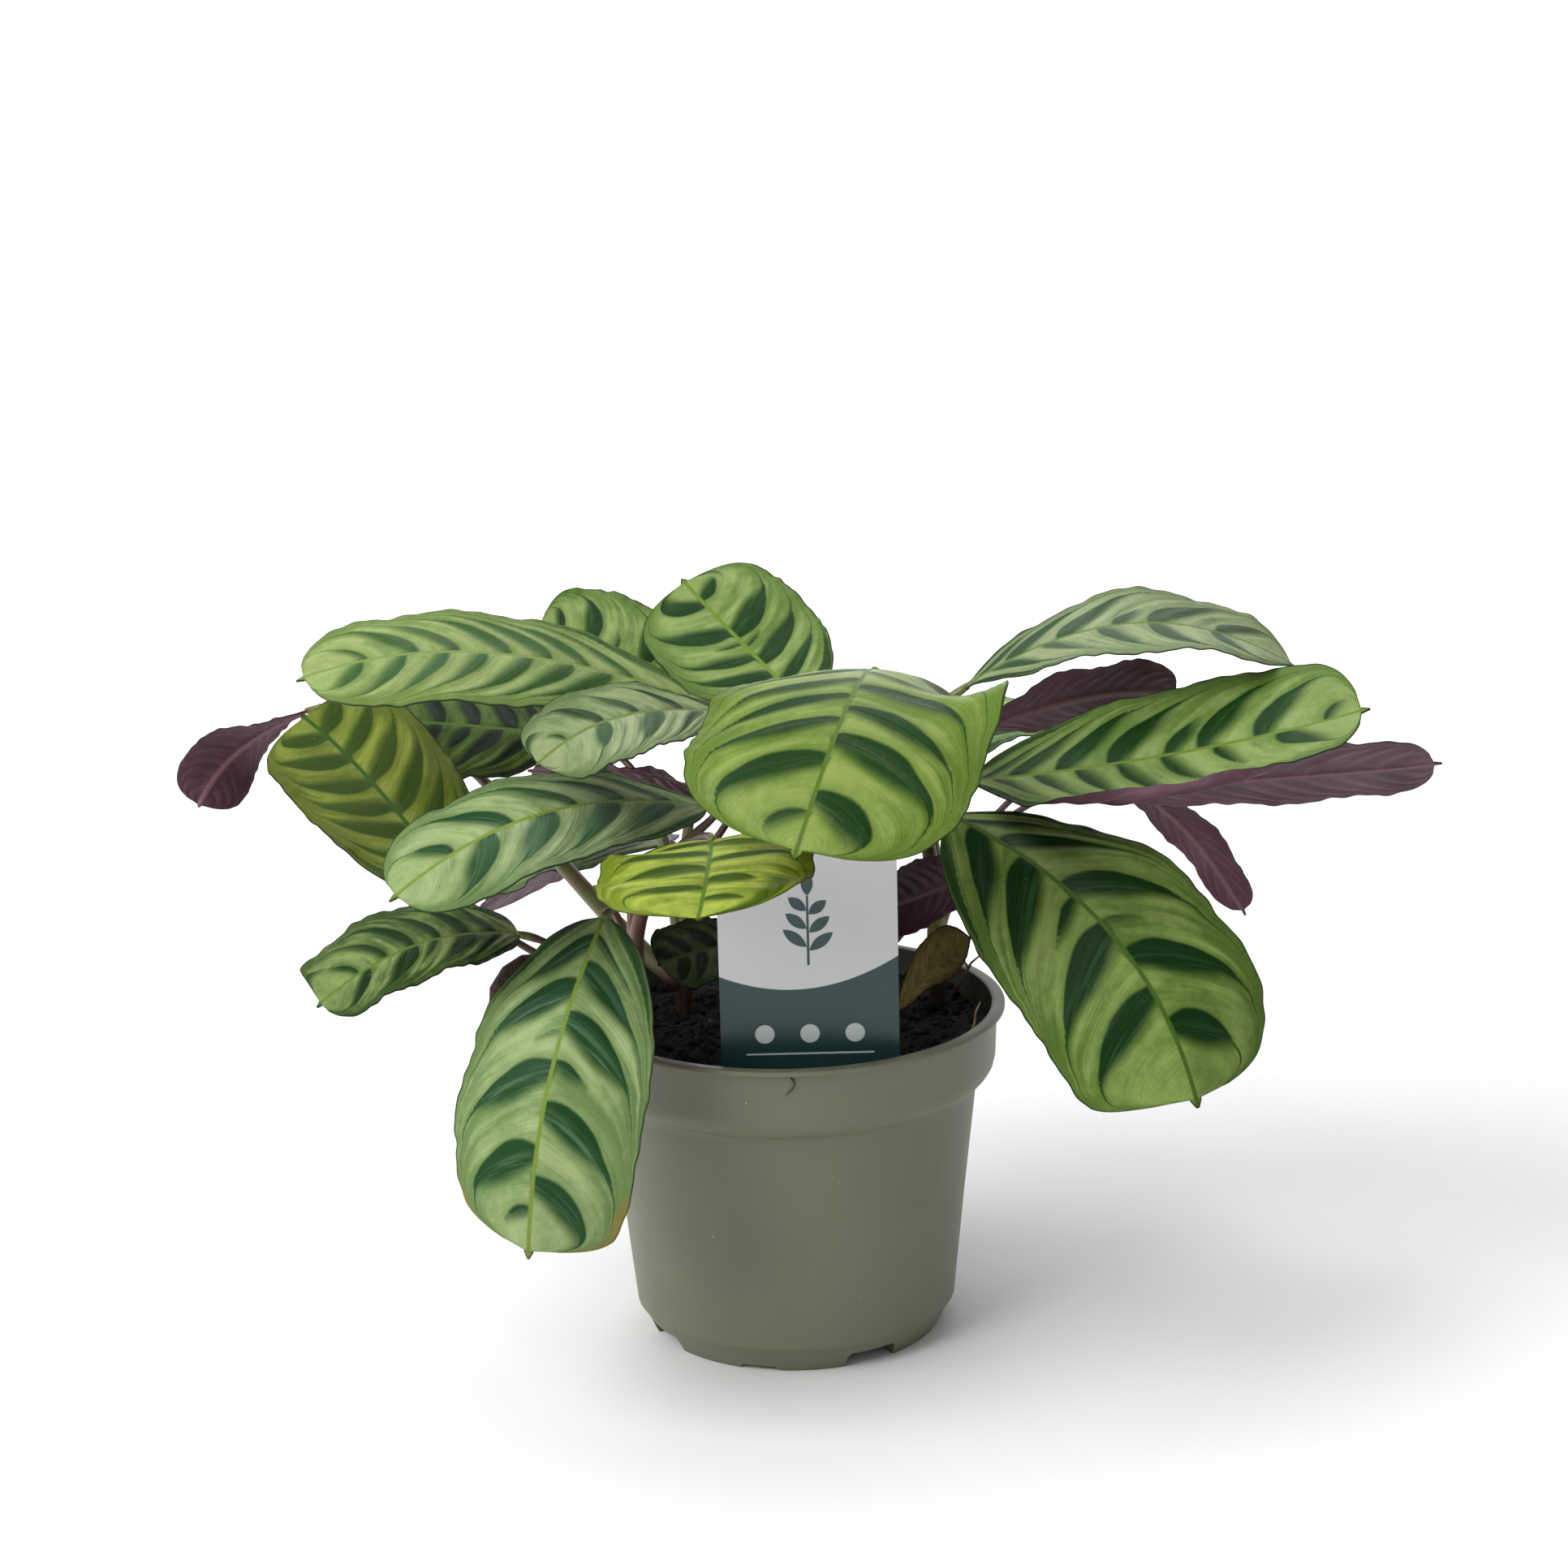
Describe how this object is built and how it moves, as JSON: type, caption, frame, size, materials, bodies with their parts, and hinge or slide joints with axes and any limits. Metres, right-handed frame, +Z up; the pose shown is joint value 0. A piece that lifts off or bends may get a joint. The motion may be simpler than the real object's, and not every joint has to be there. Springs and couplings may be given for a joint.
{
  "type": "potted fishbone prayer plant",
  "caption": "Low, spreading foliage plant with oblong fishbone-patterned leaves on thin petioles, in a tapered plastic nursery pot with soil and a blank plant label.",
  "frame": {"origin": "on the pot's axis, on the surface that the pot stands on", "axes": "+Z up, +X to the right along the plant's widest reach, -Y to the front"},
  "size_m": [0.3609, 0.2097, 0.2065],
  "materials": {
    "pot": "satin grey-green moulded polypropylene",
    "soil": "moist dark peat with fibres",
    "label": "smooth printed card of thin plastic, satin",
    "leaf": "light green with dark green bars above, purple below, slightly glossy",
    "old_leaf": "olive older leaf with dark bars",
    "dry_leaf": "dry, papery brown",
    "petiole": "smooth, greenish to reddish brown"
  },
  "bodies": {
    "root": {"pot": "pot", "soil": "soil", "label": "label", "shoot_left_front": "petiole", "shoot_left_back": "petiole", "shoot_centre": "petiole", "shoot_right_front": "petiole", "shoot_right_back": "petiole", "leaf_front_centre": "leaf", "leaf_top_centre": "leaf", "leaf_upper_left": "leaf", "leaf_upper_left_back": "leaf", "leaf_left_back": "leaf", "leaf_left_middle": "leaf", "leaf_small_upper": "leaf", "leaf_low_left": "leaf", "leaf_front_left": "leaf", "leaf_front_low": "leaf", "leaf_by_soil": "leaf", "leaf_right_top": "leaf", "leaf_right_long": "leaf", "leaf_right_front": "leaf", "leaf_left_inner": "leaf", "leaf_back_centre": "leaf", "leaf_back_left": "leaf", "leaf_back_right": "leaf", "leaf_back_left_low": "leaf", "leaf_back_low": "leaf", "leaf_far_left": "leaf", "leaf_right_back": "leaf", "leaf_far_right": "leaf", "leaf_right_hanging": "leaf", "leaf_by_label": "leaf", "leaf_left_olive": "old_leaf", "dry_sheath": "dry_leaf"}
  },
  "joints": []
}
